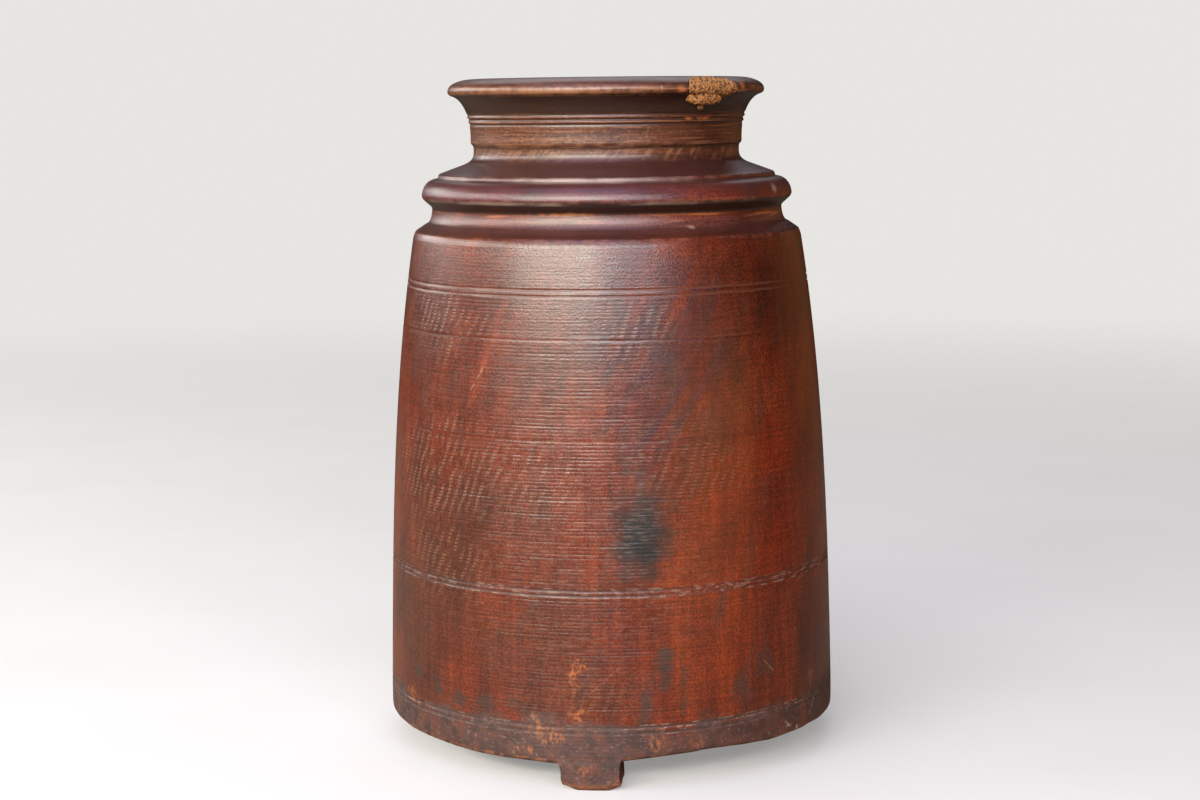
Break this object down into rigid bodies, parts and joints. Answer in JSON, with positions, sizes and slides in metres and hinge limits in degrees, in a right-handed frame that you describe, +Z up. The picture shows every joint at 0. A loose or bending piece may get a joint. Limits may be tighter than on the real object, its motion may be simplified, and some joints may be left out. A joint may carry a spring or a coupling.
{
  "type": "turned wooden ghee pot",
  "caption": "Tall one-piece turned wooden pot for ghee: wide slightly tapered body, moulded shoulder flange, drawn-in neck, rolled lip mended with filler, and small feet.",
  "frame": {"origin": "on the floor under the turning axis, at the middle of the pot's footprint", "axes": "+Z up along the turning axis; -Y is the front as pictured, with one foot a little to the left of it and the mended chip at the right"},
  "size_m": [0.34, 0.34, 0.4999],
  "materials": {
    "turned_wood": "old reddish-brown turned wood, oiled and polished by handling, fine lathe ridges, edges worn to raw orange wood",
    "filler": "dry tan granular filler of wood dust and resin, pitted"
  },
  "bodies": {
    "root": {"pot_body": "turned_wood", "rim_repair": "filler"}
  },
  "joints": []
}
